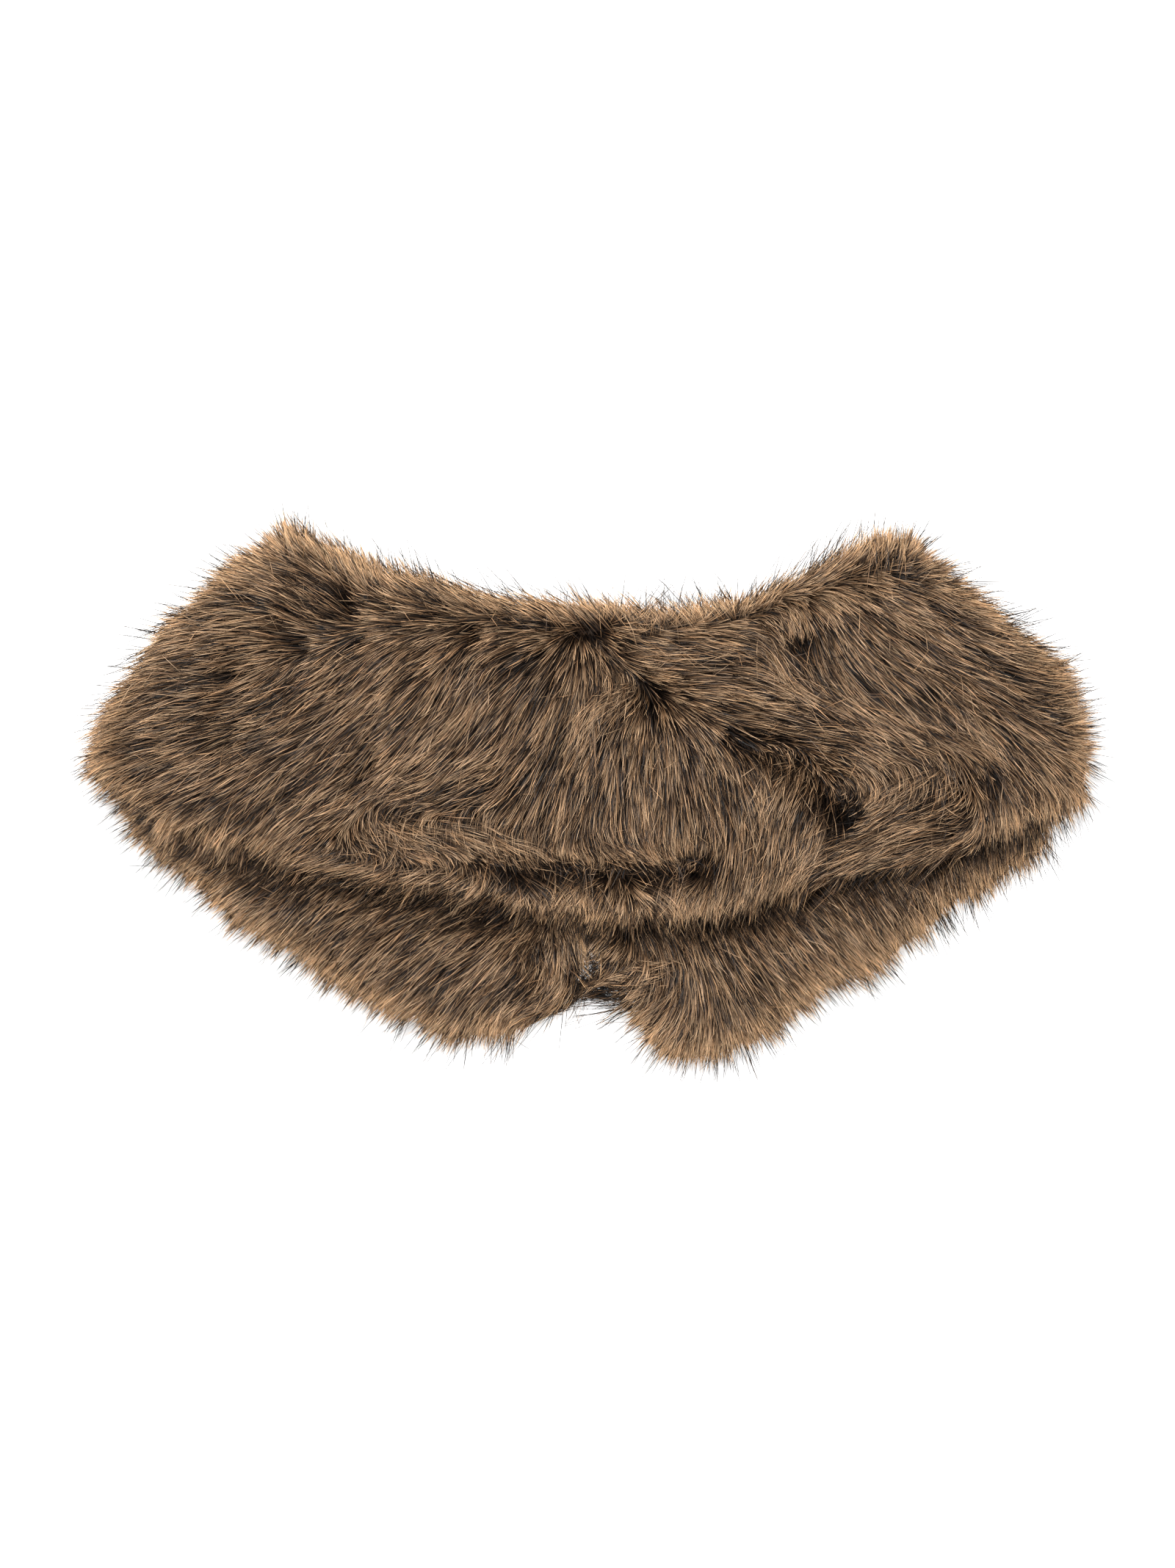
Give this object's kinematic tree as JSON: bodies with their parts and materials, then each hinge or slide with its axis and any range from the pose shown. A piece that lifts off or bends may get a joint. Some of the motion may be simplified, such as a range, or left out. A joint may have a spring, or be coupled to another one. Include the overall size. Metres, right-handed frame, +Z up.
{
  "type": "fur collar wrap",
  "caption": "Curved band of deep brown fur pile laid flat, its two ends folded under the back stretch and meeting at a small notch in front.",
  "frame": {"origin": "centre of the bounding box, on the surface that the wrap lies on", "axes": "+X to the wearer's left as the wrap is seen in the picture, +Y towards the neckline, +Z up"},
  "size_m": [0.6186, 0.336, 0.0523],
  "materials": {
    "back_fur": "deep soft pile, matte with a slight sheen",
    "front_fur": "deep soft pile, matte with a slight sheen"
  },
  "bodies": {
    "root": {"back_panel": "back_fur", "left_front": "front_fur", "right_front": "front_fur"}
  },
  "joints": []
}
